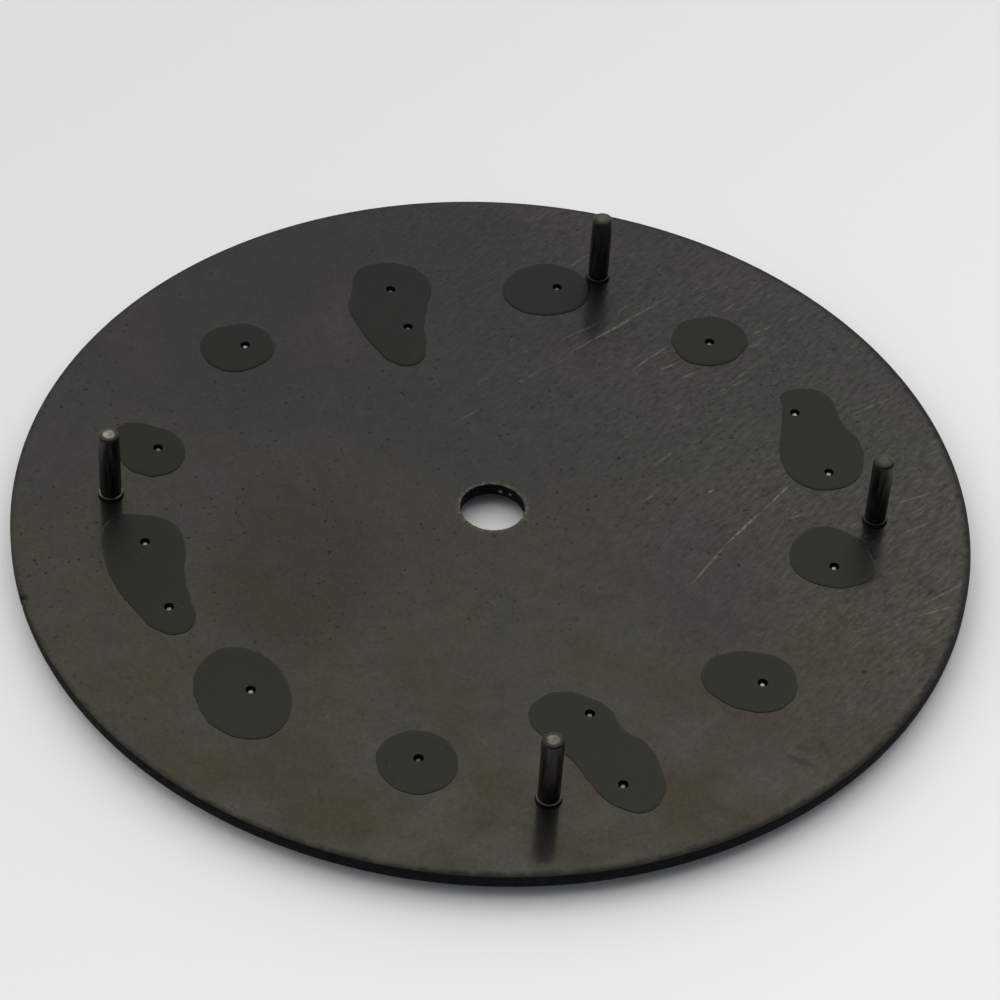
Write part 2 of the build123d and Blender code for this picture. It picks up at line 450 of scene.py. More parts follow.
# Bright scratches on the back: the two ends of each and its strength
scratch_width = 0.085
scratches = [
    ((4.06, 5.67), (8.89, 7.74), 0.8), ((5.4, 6.22), (7.0, 6.88), 1.3), ((4.2, 6.44), (6.3, 7.08), 0.5),
    ((6.2, 7.05), (7.5, 7.7), 0.3), ((2.3, 4.9), (3.5, 5.42), 0.4), ((0.0, 3.78), (1.0, 4.18), 0.35),
    ((6.06, 4.58), (7.67, 5.36), 0.8), ((6.9, 4.33), (7.8, 4.6), 0.6), ((7.3, 3.72), (8.2, 4.06), 0.5),
    ((8.2, 2.8), (10.1, 3.9), 0.3), ((8.8, 3.05), (9.45, 3.22), 0.5), ((9.8, 4.58), (10.6, 4.7), 0.6),
    ((10.3, 5.14), (11.1, 5.33), 0.5), ((11.4, 5.33), (12.0, 5.56), 0.4),
    ((5.8, 9.7), (6.7, 10.2), 0.6), ((1.2, 5.3), (1.75, 5.46), 0.5), ((9.7, 6.3), (10.4, 6.7), 0.4),
    ((5.4, 0.44), (6.1, 0.78), 0.35), ((11.9, 0.8), (13.7, 1.3), 0.3),
    ((4.5, -4.72), (6.2, -3.36), 0.45), ((6.0, -3.5), (7.7, -2.36), 0.7),
    ((7.5, -2.5), (9.1, -1.44), 0.6), ((8.2, -2.9), (9.0, -2.83), 0.3),
    ((11.7, -3.2), (13.1, -3.0), 0.4), ((11.4, -4.4), (12.4, -4.2), 0.3),
    ((10.8, -7.3), (12.4, -6.8), 0.4), ((10.3, -7.7), (11.7, -7.6), 0.4),
    ((8.0, -7.8), (9.1, -7.7), 0.25), ((6.4, -1.2), (6.7, -1.08), 0.8), ((4.4, -1.0), (4.9, -0.8), 0.4),
]

# Marks of handling: angle, length and width, the noise levels between which they come up, their
# gain, and whether they lie in patches
rub_marks = [
    (24, 0.35, 0.14, 0.30, 0.70, 0.60, False),
    (38, 0.8, 0.12, 0.32, 0.68, 0.35, False),
    (18, 0.4, 0.07, 0.62, 0.70, 0.95, True),
    (30, 1.2, 0.06, 0.66, 0.74, 1.1, True),
    (8, 0.7, 0.07, 0.66, 0.74, 0.95, True),
]

# Dark pits on the back: the place and width of each
pits = [
    (-1.1, 5.5, 0.14), (-2.0, 6.0, 0.14), (0.0, 12.2, 0.14), (2.15, 11.9, 0.12), (4.35, 0.95, 0.16),
    (8.0, 0.85, 0.15), (8.4, 1.7, 0.12), (4.5, -1.1, 0.14), (6.2, -4.3, 0.14), (-5.2, -0.5, 0.17),
    (-4.9, 2.15, 0.14), (8.1, -9.3, 0.14), (2.7, -0.9, 0.16), (4.1, 0.08, 0.12), (7.2, -2.2, 0.12),
]

# Dark smudges: the place, angle, length, width and strength of each
smudges = [
    (5.08, -11.97, -44, 1.15, 0.34, 0.42), (5.28, -11.49, -45, 0.6, 0.3, 0.25),
    (5.9, -11.77, 95, 0.9, 0.25, 0.22), (-14.2, 0.15, 0, 0.4, 0.3, 1.0),
]


def black_nickel_back():
    """Black nickel over brass sheet that was ground satin: a dark warm grey mirror that blurs what
    it shows. Handling has stained it brown and pink, pitted it and rubbed it, most on its right side,
    which painted light also makes paler. A painted highlight rings the centre hole, and painted shade
    darkens the edge of the rim."""
    material, tree, place = new_material("black_nickel_on_satin_brass")
    radius = add(tree, "VectorMath", [place], "Value", operation="LENGTH")
    elsewhere = add(tree, "Mapping", [place, (31, 17, 0)])

    # Tone, paler towards the lower side and the rim
    cloud = add(tree, "TexNoise", {"Vector": place, "Scale": 1 / 5.0, "Detail": 3.0})
    tone = add(tree, "VectorMath", [place, (0, -1.1, 0)], "Value", operation="DOT_PRODUCT")
    tone = add(tree, "Math", [cloud, 9.0, tone], operation="MULTIPLY_ADD")
    tone = add(tree, "Math", [radius, 0.35, tone], operation="MULTIPLY_ADD")
    tone = add(tree, "MapRange", [tone, -12.5, 24.5])
    colours = {0: tone, 6: linear("#0d0d0b"), 7: linear("#3a3932")}
    colour = add(tree, "Mix", colours, 2, data_type="RGBA")

    # Brown stains on the lower left half and left of the middle, a pink patch right of the middle
    # and pink clouds
    stain = add(tree, "TexNoise", {"Vector": place, "Scale": 1 / 3.2, "Detail": 4.0, "Roughness": 0.6})
    stain = add(tree, "MapRange", [stain, 0.37, 0.61])
    low_side = add(tree, "VectorMath", [place, (0.45, 1, 0)], "Value", operation="DOT_PRODUCT")
    low_side = add(tree, "MapRange", [low_side, 3.0, -8.0])
    brown = add(tree, "Math", [stain, low_side], operation="MULTIPLY")
    colour = add(tree, "Mix", {0: brown, 6: colour, 7: linear("#312c20")}, 2, data_type="RGBA")
    brown = spot(tree, place, (-6.3, -0.7), 65, 9.5, 6.0, 0.75)
    colour = add(tree, "Mix", {0: brown, 6: colour, 7: linear("#26221a")}, 2, data_type="RGBA")
    pink = add(tree, "TexNoise", {"Vector": elsewhere, "Scale": 1 / 4.0, "Detail": 2.0})
    pink = add(tree, "MapRange", [pink, 0.52, 0.72, 0.0, 0.45])
    patch = spot(tree, place, (5.0, -4.6), 80, 9.5, 4.8, 0.9)
    pink = add(tree, "Math", [pink, patch], operation="MAXIMUM")
    colour = add(tree, "Mix", {0: pink, 6: colour, 7: linear("#302a27")}, 2, data_type="RGBA")

    # Satin grain, as coarse as the render can show
    mottle = add(tree, "TexNoise", {"Vector": place, "Scale": 1 / 0.6, "Detail": 4.0, "Roughness": 0.65})
    grain = add(tree, "TexNoise", {"Vector": place, "Scale": 1 / 0.13, "Detail": 2.0, "Roughness": 0.7})
    level = add(tree, "MapRange", [mottle, 0.25, 0.75, 0.75, 1.05])
    fine = add(tree, "MapRange", [grain, 0.25, 0.75, -0.18, 0.18])
    level = add(tree, "Math", [level, fine], operation="ADD")

    # Rub marks, mostly towards the upper right, with painted light that makes that side paler
    rubs_and_light_to_right = add(tree, "VectorMath", [place, (1, 0.3, 0)], "Value", operation="DOT_PRODUCT")
    rubs_and_light_to_right = add(tree, "MapRange", [rubs_and_light_to_right, 0.0, 8.0, 0.06, 1.0])
    rub = 0.0
    for number, (angle, length, width, low, high, gain, in_patches) in enumerate(rub_marks):
        drawn = stretched(tree, place, (5.1 * number, 3.3), angle, length, width)
        mark = add(tree, "TexNoise", {"Vector": drawn, "Scale": 1.0, "Detail": 2.0})
        rise = -gain / 2 if not in_patches else 0.0
        mark = add(tree, "MapRange", [mark, low, high, rise, rise + gain])
        if in_patches:
            area = add(tree, "Mapping", [place, (7.7 * number, 0, 0)])
            area = add(tree, "TexNoise", {"Vector": area, "Scale": 1 / 1.6, "Detail": 1.0})
            area = add(tree, "MapRange", [area, 0.42, 0.62])
            mark = add(tree, "Math", [mark, area], operation="MULTIPLY")
        rub = add(tree, "Math", [rub, mark], operation="ADD")
    rub = add(tree, "Math", [rub, rubs_and_light_to_right], operation="MULTIPLY")

    # Scratches, broken here and there
    scratch = 0.0
    for start, end, strength in scratches:
        middle = ((start[0] + end[0]) / 2, (start[1] + end[1]) / 2)
        angle = math.degrees(math.atan2(end[1] - start[1], end[0] - start[0]))
        line = spot(tree, place, middle, angle, math.dist(start, end), scratch_width, strength)
        scratch = add(tree, "Math", [scratch, line], operation="MAXIMUM")
    broken = add(tree, "TexNoise", {"Vector": place, "Scale": 1 / 0.22, "Detail": 1.0})
    broken = add(tree, "MapRange", [broken, 0.35, 0.6, 0.2, 1.0])
    scratch = add(tree, "Math", [scratch, broken], operation="MULTIPLY")

    # Pits: small specks in drifts, fewer on the lower side, and larger ones where they are
    drift = add(tree, "TexNoise", {"Vector": elsewhere, "Scale": 1 / 2.2, "Detail": 2.0})
    drift = add(tree, "MapRange", [drift, 0.38, 0.56, 0.35, 1.0])
    fewer = add(tree, "SeparateXYZ", [place], "Y")
    fewer = add(tree, "MapRange", [fewer, -7.0, 0.0, 0.3, 1.0])
    drift = add(tree, "Math", [drift, fewer], operation="MULTIPLY")
    speck = add(tree, "TexNoise", {"Vector": elsewhere, "Scale": 1 / 0.15, "Detail": 0.0})
    speck = add(tree, "MapRange", [speck, 0.71, 0.79, 0.0, 1.0])
    pit = add(tree, "Math", [speck, drift], operation="MULTIPLY")
    for x, y, width in pits:
        hollow = spot(tree, place, (x, y), 0, width, width)
        pit = add(tree, "Math", [pit, hollow], operation="MAXIMUM")
    for x, y, angle, length, width, strength in smudges:
        smudge = spot(tree, place, (x, y), angle, length, width, strength)
        smudge = add(tree, "Math", [smudge, level], operation="MULTIPLY")
        pit = add(tree, "Math", [pit, smudge], operation="MAXIMUM")

    # Burr round the centre hole, lit by a painted highlight ring, and painted shade along the edge of
    # the rim, widest at the lower right
    burr_highlight = add(tree, "MapRange", [radius, hole_radius + 0.16, hole_radius + 0.04])
    burr_speckle = add(tree, "MapRange", [grain, 0.42, 0.62, 0.1, 1.8])
    burr_highlight = add(tree, "Math", [burr_highlight, burr_speckle], operation="MULTIPLY")
    right = add(tree, "VectorMath", [place, (0.7, -0.8, 0)], "Value", operation="DOT_PRODUCT")
    right = add(tree, "MapRange", [right, -8.0, 8.0])
    ragged = add(tree, "TexNoise", {"Vector": place, "Scale": 1 / 0.3, "Detail": 2.0})
    edge = add(tree, "Math", [ragged, 0.3, radius], operation="MULTIPLY_ADD")
    edge = add(tree, "Math", [right, 0.12, edge], operation="MULTIPLY_ADD")
    edge = add(tree, "MapRange", [edge, dial_radius + 0.02, dial_radius + 0.2, 0.0, 0.95])

    lit = add(tree, "Math", [level, rub], operation="ADD")
    lit = add(tree, "Math", [scratch, 3.5, lit], operation="MULTIPLY_ADD")
    lit = add(tree, "Math", [burr_highlight, lit], operation="ADD")
    for dark in (pit, edge):
        left = add(tree, "MapRange", [dark, 0.0, 1.0, 1.0, 0.05])
        lit = add(tree, "Math", [lit, left], operation="MULTIPLY")
    colour = add(tree, "VectorMath", {0: colour, "Scale": lit}, operation="SCALE")

    marked = add(tree, "Math", [scratch, pit], operation="MAXIMUM")
    roughness = add(tree, "MapRange", [grain, 0.3, 0.7, 0.12, 0.18])
    roughness = add(tree, "Math", [rubs_and_light_to_right, 0.06, roughness], operation="MULTIPLY_ADD")
    roughness = add(tree, "Math", [marked, 0.15, roughness], operation="MULTIPLY_ADD")
    height = add(tree, "Math", [grain, 0.0006, 0.0], operation="MULTIPLY_ADD")
    height = add(tree, "Math", [rub, 0.0035, height], operation="MULTIPLY_ADD")
    height = add(tree, "Math", [marked, -0.004, height], operation="MULTIPLY_ADD")
    relief = add(tree, "Bump", {"Strength": 0.6, "Distance": MM, "Height": height})

    # The coat is the film that handling left: a dull veil over what the plating shows
    finish = {
        "Base Color": colour,
        "Metallic": 1.0,
        "Roughness": roughness,
        "Coat Weight": 0.26,
        "Coat Roughness": 0.5,
        "Normal": relief,
    }
    add(tree, "OutputMaterial", [add(tree, "BsdfPrincipled", finish)])
    return material


def black_lacquer():
    """Black lacquer sprayed on the face: matte, with a faint orange peel and some dust in it."""
    material, tree, place = new_material("matte_black_lacquer")
    peel = add(tree, "TexNoise", {"Vector": place, "Scale": 1 / 0.35, "Detail": 2.0})
    dust = add(tree, "TexNoise", {"Vector": place, "Scale": 1 / 0.12, "Detail": 1.0})
    dust = add(tree, "MapRange", [dust, 0.70, 0.78])
    colour = add(tree, "Mix", {0: dust, 6: linear("#080808"), 7: linear("#1a1918")}, 2, data_type="RGBA")
    roughness = add(tree, "MapRange", [peel, 0.2, 0.8, 0.50, 0.62])
    height = add(tree, "Math", [peel, 0.004], operation="MULTIPLY")
    relief = add(tree, "Bump", {"Strength": 0.5, "Distance": MM, "Height": height})
    finish = {"Base Color": colour, "Roughness": roughness, "Specular IOR Level": 0.3, "Normal": relief}
    add(tree, "OutputMaterial", [add(tree, "BsdfPrincipled", finish)])
    return material


def wall_shade_finish():
    """Painted shade on the rim's and the hole's walls: a deep dull black, with two painted glints on
    the hole's wall."""
    material, tree, place = new_material("black_painted_wall_shade")
    blotch = add(tree, "TexNoise", {"Vector": place, "Scale": 1 / 0.25, "Detail": 2.0})
    tone = add(tree, "MapRange", [blotch, 0.3, 0.7])
    colour = add(tree, "Mix", {0: tone, 6: linear("#09090a"), 7: linear("#161518")}, 2, data_type="RGBA")
    for x, y, z, width in hole_glints:
        inputs = {"Vector": place, "Location": (x, y, z), "Scale": (width / 2,) * 3}
        inside = add(tree, "Mapping", inputs, vector_type="TEXTURE")
        glint = add(tree, "TexGradient", [inside], "Fac", gradient_type="SPHERICAL")
        glint = add(tree, "MapRange", [glint, 0.0, 0.5, 0.0, 0.4])
        colour = add(tree, "Mix", {0: glint, 6: colour, 7: linear("#a3a098")}, 2, data_type="RGBA")
    finish = {"Base Color": colour, "Roughness": 0.7, "Specular IOR Level": 0.05}
    add(tree, "OutputMaterial", [add(tree, "BsdfPrincipled", finish)])
    return material


def cured_adhesive():
    """Thin lacquer drop, cured over the dark plating: satin, darker, with a faint olive tint."""
    material, tree, place = new_material("cured_lacquer_drop")
    cloud = add(tree, "TexNoise", {"Vector": place, "Scale": 1 / 2.5, "Detail": 2.0})
    grain = add(tree, "TexNoise", {"Vector": place, "Scale": 1 / 0.22, "Detail": 2.0})
    across = add(tree, "VectorMath", [place, (0, -1, 0)], "Value", operation="DOT_PRODUCT")
    tone = add(tree, "Math", [cloud, 6.0, across], operation="MULTIPLY_ADD")
    tone = add(tree, "MapRange", [tone, -9.0, 15.0])
    colour = add(tree, "Mix", {0: tone, 6: linear("#1d1d18"), 7: linear("#2a2a25")}, 2, data_type="RGBA")
    dust = add(tree, "TexNoise", {"Vector": place, "Scale": 1 / 0.09, "Detail": 1.0})
    dust = add(tree, "MapRange", [dust, 0.76, 0.80, 0.0, 1.2])
    level = add(tree, "MapRange", [grain, 0.2, 0.8, 0.93, 1.07])
    level = add(tree, "Math", [level, dust], operation="ADD")
    colour = add(tree, "VectorMath", {0: colour, "Scale": level}, operation="SCALE")
    roughness = add(tree, "MapRange", [grain, 0.2, 0.8, 0.36, 0.46])
    height = add(tree, "Math", [grain, 0.0004, 0.0], operation="MULTIPLY_ADD")
    height = add(tree, "Math", [cloud, 0.004, height], operation="MULTIPLY_ADD")
    relief = add(tree, "Bump", {"Strength": 0.5, "Distance": MM, "Height": height})
    finish = {"Base Color": colour, "Metallic": 1.0, "Roughness": roughness, "Normal": relief}
    add(tree, "OutputMaterial", [add(tree, "BsdfPrincipled", finish)])
    return material


def plated_pin():
    """Drawn brass pin, its black nickel worn to a dull grey along the shaft by draw lines and kept
    black at the round of the tip, with painted shade at the shoulder's foot. The middle of the tip is
    rubbed paler and the shoulder's edge has a painted highlight, more on some feet than on others."""
    material, tree, place = new_material("worn_black_nickel_on_drawn_brass")
    up = add(tree, "SeparateXYZ", [place], "Z")
    drawn = add(tree, "Mapping", {"Vector": place, "Scale": (1, 1, 0.12)})
    line = add(tree, "TexNoise", {"Vector": drawn, "Scale": 1 / 0.10, "Detail": 2.0})
    blotch = add(tree, "TexNoise", {"Vector": place, "Scale": 1 / 0.2, "Detail": 3.0, "Roughness": 0.6})
    streak = add(tree, "MapRange", [line, 0.30, 0.70])
    colours = {0: streak, 6: linear("#302f2e"), 7: linear("#524f4a")}
    colour = add(tree, "Mix", colours, 2, data_type="RGBA")

    # Painted shade at the shoulder's foot, black at the round of the tip, and dull on the tip
    shoulder_shade = add(tree, "MapRange", [up, shoulder_height + 0.10, shoulder_height - 0.02])
    tip = foot_height - foot_tip_round
    high_black = add(tree, "MapRange", [up, tip - 0.02, tip + 0.04])
    black = add(tree, "Math", [shoulder_shade, high_black], operation="MAXIMUM")
    colour = add(tree, "Mix", {0: black, 6: colour, 7: linear("#24231f")}, 2, data_type="RGBA")
    cap = add(tree, "MapRange", [up, foot_height - foot_tip_crown - 0.01, foot_height - foot_tip_crown])
    colour = add(tree, "Mix", {0: cap, 6: colour, 7: linear("#322f29")}, 2, data_type="RGBA")

    share = add(tree, "Attribute", output="Fac", attribute_name="foot_wear_and_highlight")
    patchy = add(tree, "MapRange", [blotch, 0.35, 0.60, 0.35, 1.0])
    crown = [up, foot_height - foot_tip_crown * 0.7, foot_height - foot_tip_crown * 0.1]
    wear_and_ledge_highlight = add(tree, "MapRange", crown)
    # The shoulder's edge gets a painted highlight in the worn tip's pale colour
    ledge = add(tree, "Math", [up, shoulder_height, 0.02], operation="COMPARE")
    ledge = add(tree, "Math", [ledge, 0.5], operation="MULTIPLY")
    wear_and_ledge_highlight = add(tree, "Math", [wear_and_ledge_highlight, ledge], operation="MAXIMUM")
    wear_and_ledge_highlight = add(tree, "Math", [wear_and_ledge_highlight, patchy], operation="MULTIPLY")
    wear_and_ledge_highlight = add(tree, "Math", [wear_and_ledge_highlight, share], operation="MULTIPLY")
    colour = add(tree, "Mix", {0: wear_and_ledge_highlight, 6: colour, 7: linear("#918a80")}, 2, data_type="RGBA")

    roughness = add(tree, "MapRange", [line, 0.2, 0.8, 0.34, 0.50])
    height = add(tree, "Math", [line, 0.003], operation="MULTIPLY")
    relief = add(tree, "Bump", {"Strength": 0.6, "Distance": MM, "Height": height})
    finish = {"Base Color": colour, "Metallic": 1.0, "Roughness": roughness, "Normal": relief}
    add(tree, "OutputMaterial", [add(tree, "BsdfPrincipled", finish)])
    return material


def bright_plating():
    """Brass turned and polished, plated bright: a nearly white metal with faint tool lines."""
    material, tree, place = new_material("polished_bright_plated_brass")
    along = add(tree, "Mapping", {"Vector": place, "Scale": (1, 1, 6)})
    cut = add(tree, "TexNoise", {"Vector": along, "Scale": 1 / 0.09, "Detail": 2.0})
    tone = add(tree, "MapRange", [cut, 0.3, 0.7])
    colour = add(tree, "Mix", {0: tone, 6: linear("#d9d6cf"), 7: linear("#e6e4df")}, 2, data_type="RGBA")
    roughness = add(tree, "MapRange", [cut, 0.2, 0.8, 0.10, 0.20])
    height = add(tree, "Math", [cut, 0.0015], operation="MULTIPLY")
    relief = add(tree, "Bump", {"Strength": 0.4, "Distance": MM, "Height": height})
    finish = {"Base Color": colour, "Metallic": 1.0, "Roughness": roughness, "Normal": relief}
    add(tree, "OutputMaterial", [add(tree, "BsdfPrincipled", finish)])
    return material


def cropped_pin():
    """The pins' cut ends, unpolished: a dull grey metal, tarnished more on some than on others."""
    material, tree, place = new_material("dull_cropped_brass_pin")
    cut = add(tree, "TexNoise", {"Vector": place, "Scale": 1 / 0.07, "Detail": 2.0})
    tarnish = add(tree, "Attribute", output="Fac", attribute_name="tarnish")
    colours = {0: tarnish, 6: linear("#8a867f"), 7: linear("#3a3733")}
    colour = add(tree, "Mix", colours, 2, data_type="RGBA")
    level = add(tree, "MapRange", [cut, 0.3, 0.7, 0.7, 1.3])
    colour = add(tree, "VectorMath", {0: colour, "Scale": level}, operation="SCALE")
    roughness = add(tree, "MapRange", [cut, 0.2, 0.8, 0.30, 0.45])
    finish = {"Base Color": colour, "Metallic": 1.0, "Roughness": roughness}
    add(tree, "OutputMaterial", [add(tree, "BsdfPrincipled", finish)])
    return material


def luminous_paste():
    """Luminous paste: matte, pale green cream, with the grain of its pigment."""
    material, tree, place = new_material("matte_luminous_paste")
    grain = add(tree, "TexNoise", {"Vector": place, "Scale": 1 / 0.06, "Detail": 3.0, "Roughness": 0.7})
    tone = add(tree, "MapRange", [grain, 0.3, 0.7])
    colour = add(tree, "Mix", {0: tone, 6: linear("#d3d6bd"), 7: linear("#e4e6d2")}, 2, data_type="RGBA")
    height = add(tree, "Math", [grain, 0.006], operation="MULTIPLY")
    relief = add(tree, "Bump", {"Strength": 0.7, "Distance": MM, "Height": height})
    finish = {"Base Color": colour, "Roughness": 0.85, "Normal": relief}
    add(tree, "OutputMaterial", [add(tree, "BsdfPrincipled", finish)])
    return material


def pad_print():
    """Pad printed ink: off-white, satin, slightly thinner in places."""
    material, tree, place = new_material("off_white_pad_print")
    thin = add(tree, "TexNoise", {"Vector": place, "Scale": 1 / 0.18, "Detail": 3.0, "Roughness": 0.6})
    tone = add(tree, "MapRange", [thin, 0.3, 0.7])
    colour = add(tree, "Mix", {0: tone, 6: linear("#d5d3ca"), 7: linear("#e8e6df")}, 2, data_type="RGBA")
    roughness = add(tree, "MapRange", [thin, 0.2, 0.8, 0.45, 0.6])
    finish = {"Base Color": colour, "Roughness": roughness}
    add(tree, "OutputMaterial", [add(tree, "BsdfPrincipled", finish)])
    return material


def white_card():
    """Smooth matte card, with painted light that makes it a touch lighter towards the lower right."""
    material, tree, place = new_material("matte_white_card")
    along = add(tree, "VectorMath", [place, (0.465, -0.885, 0)], "Value", operation="DOT_PRODUCT")
    tone = add(tree, "MapRange", [along, -24.0, 24.0])
    colour = add(tree, "Mix", {0: tone, 6: linear("#dbdbda"), 7: linear("#eeeeea")}, 2, data_type="RGBA")
    finish = {"Base Color": colour, "Roughness": 0.9, "Specular IOR Level": 0.2}
    add(tree, "OutputMaterial", [add(tree, "BsdfPrincipled", finish)])
    return material


# Pieces

def dial_disc(back, lacquer, wall_shade):
    """Disc with its centre hole and pin holes, its edges broken and one nick in the rim."""
    disc = round_bar("dial_disc", dial_radius, -plate_thickness, 0, plate_sides)
    edit(disc)
    select_faces(disc, lambda normal: faces_up(normal) or faces_down(normal))
    bpy.ops.mesh.region_to_loop()
    bevel(rim_break, 3)
    leave()
    cutters = [drill(hole_radius, hole_sides)]
    for hour in hours:
        cutters += [drill(pin_hole_radius, pin_hole_sides, spot.xy) for spot in pin_places(hour)]
    cutters.append(drill(nick_radius, 3, nick_place))
    boolean(disc, joined(cutters), "DIFFERENCE")
    edit(disc)
    on_back = -height_tolerance
    at_hole = hole_radius + hole_break
    select_edges(disc, lambda point: point.z > on_back and point.xy.length < at_hole)
    bevel(hole_break, 3)
    leave()
    finished(disc, "dial_disc", [back, lacquer, wall_shade], "dial_plate")
    # The face takes the black lacquer, and the walls of the rim and the holes the painted shade
    for face in disc.data.polygons:
        if face.normal.z < wall_rise:
            face.material_index = 1 if face.normal.z < -wall_rise else 2


def dial_feet(material):
    """Round pins with a rounded tip, on a low shoulder that tapers up to them."""
    tip = foot_height - foot_tip_crown
    foot = round_bar("foot", foot_radius, shoulder_height, tip, foot_sides)
    edit(foot)
    select_edges(foot, lambda point: point.z > tip - height_tolerance)
    bevel(foot_tip_round, 4)
    select_faces(foot, faces_up)
    for step in crown_steps:
        bpy.ops.mesh.inset(thickness=step, depth=foot_tip_crown / len(crown_steps))
    select_faces(foot, faces_down)
    extrude(0)
    wide = shoulder_neck / foot_radius
    bpy.ops.transform.resize(value=(wide, wide, 1))
    extrude(-shoulder_height)
    wide = shoulder_radius / shoulder_neck
    bpy.ops.transform.resize(value=(wide, wide, 1))
    neck = (foot_radius + shoulder_neck) / 2
    ledge = (shoulder_height - height_tolerance, shoulder_height + height_tolerance)
    select_edges(foot, lambda point: ledge[0] < point.z < ledge[1] and point.xy.length > neck)
    bevel(shoulder_edge_round, 2)
    leave()
    for number in foot_places:
        turned = Matrix.Rotation(math.radians(foot_turn * number), 4, "Z")
        twin = copied(foot, "foot")
        twin.data.transform(Matrix.Translation(foot_place(number)) @ turned)
        labelled(twin, "foot_wear_and_highlight", foot_wear_and_highlight[number])
        finished(twin, f"foot_pin_{number}", [material], f"dial_foot_{number}")
    bpy.data.objects.remove(foot)


def adhesive_drop(hour, material):
    """A film with a round edge, open at its pins and clear of the feet."""
    spots = pin_places(hour)
    middle = sum(spots, Vector()) / len(spots)
    curve = flat_curve("drop")
    curve.resolution_u = 8
    spline = curve.splines.new("BEZIER")
    outline = drop_outlines[hour]
    spline.bezier_points.add(len(outline) - 1)
    for point, (u, v) in zip(spline.bezier_points, outline):
        point.co = middle + Vector((u, v, 0))
        point.handle_left_type = "AUTO"
        point.handle_right_type = "AUTO"
    spline.use_cyclic_u = True
    drop = outline_mesh(curve)
    noise.seed_set(unevenness_seed)
    for vertex in drop.data.vertices:
        uneven = noise.noise_vector(vertex.co * unevenness_per_mm) * unevenness
        vertex.co += Vector((uneven.x, uneven.y, 0))
    edit(drop)
    select_all()
    bpy.ops.mesh.edge_face_add()
    turn_up(drop)
    extrude(adhesive_edge_height)
    for inward, rise in adhesive_edge_steps:
        bpy.ops.mesh.inset(thickness=inward, depth=rise)
    turn_out()
    leave()
    cutters = [drill(pin_hole_radius, pin_hole_sides, spot.xy) for spot in spots]
    for number in foot_places:
        spot = foot_place(number)
        if (spot - middle).length < foot_reach:
            cutters.append(drill(shoulder_radius + adhesive_gap, foot_sides, spot.xy))
    boolean(drop, joined(cutters), "DIFFERENCE")
    name = f"adhesive_drop_{hour:02d}"
    finished(drop, name, [material], f"adhesive_spot_{hour:02d}", drop_crease)


def onto_face(piece, hour, upside_down):
    """Moves a piece from its own flat drawing to its hour on the face. In the drawing the face
    looks up at +Z and 12 o'clock is at +Y."""
    turned = Matrix.Rotation(math.pi if upside_down else 0, 4, "Z")
    over = Matrix.Rotation(math.pi, 4, "Y")
    there = marker_place(hour) + Vector((0, 0, -plate_thickness))
    piece.data.transform(Matrix.Translation(there) @ over @ turned)


def pin_bars(hour):
    """The pins of an hour's marker, in the drawing of that marker."""
    middle = marker_place(hour)
    low = pin_recess - plate_thickness
    bars = []
    for spot in pin_places(hour):
        off = spot - middle
        bar = round_bar("pin", pin_radius, low, pin_overlap, pin_sides, (-off.x, off.y))
        edit(bar)
        select_edges(bar, lambda point: point.z < low + height_tolerance)
        bevel(pin_end_round, 3)
        leave()
        bars.append(bar)
    return bars


def hollowed(blank, wall):
    """Rounds the top edge of a marker's blank and sinks its pocket, a wall's width inside."""
    edit(blank)
    select_edges(blank, lambda point: point.z > marker_height - height_tolerance)
    bevel(marker_chamfer, 2)
    select_faces(blank, faces_up)
    bpy.ops.mesh.inset(thickness=wall - marker_chamfer, depth=0)
    extrude(-pocket_depth)
    leave()


def crowned(fill):
    """Raises the middle of a flat fill of paste to its full height, so that its edge lies lower."""
    edit(fill)
    select_faces(fill, faces_up)
    bpy.ops.mesh.inset(thickness=fill_edge, depth=0)
    bpy.ops.transform.translate(value=(0, 0, fill_edge_sink))
    leave()


def round_dot():
    """A turned dot's frame and its fill."""
    blank = round_bar("dot", dot_radius, 0, marker_height, dot_sides)
    hollowed(blank, dot_wall)
    pocket = dot_radius - dot_wall
    fill = round_bar("paste", pocket, pocket_floor, fill_edge_height, dot_pocket_sides)
    crowned(fill)
    return blank, fill


def triangle_solid(corner, low, high):
    """Triangle with round corners that points to the centre hole."""
    centres = triangle_reach - 2 * (triangle_wall + triangle_pocket_corner)
    posts = []
    for turn in (-90, 30, 150):
        angle = math.radians(turn)
        middle = (centres * math.cos(angle), centres * math.sin(angle))
        posts.append(round_bar("corner", corner, low, high, triangle_corner_sides, middle))
    solid = joined(posts)
    edit(solid)
    select_all()
    bpy.ops.mesh.convex_hull()
    bpy.ops.mesh.dissolve_limited(angle_limit=math.radians(same_plane_angle))
    leave()
    return solid


def triangle():
    """The triangle's frame and its fill."""
    blank = triangle_solid(triangle_pocket_corner + triangle_wall, 0, marker_height)
    hollowed(blank, triangle_wall)
    fill = triangle_solid(triangle_pocket_corner, pocket_floor, fill_edge_height)
    crowned(fill)
    return blank, fill


def arc(height, radius, start, end):
    """Points along an arc about a point on the middle line, with both its ends."""
    steps = round(abs(end - start) / numeral_arc_step)
    angles = [math.radians(start + (end - start) * step / steps) for step in range(steps + 1)]
    return [(radius * math.cos(angle), height + radius * math.sin(angle)) for angle in angles]


def meeting(high, low, high_radius, low_radius, side):
    """Where two circles about points on the middle line meet, on one side of it: the angle of that
    place from the upper point and from the lower one."""
    apart = high - low
    up = (apart ** 2 + low_radius ** 2 - high_radius ** 2) / (2 * apart)
    out = side * math.sqrt(low_radius ** 2 - up ** 2)
    return math.degrees(math.atan2(up - apart, out)), math.degrees(math.atan2(up, out))


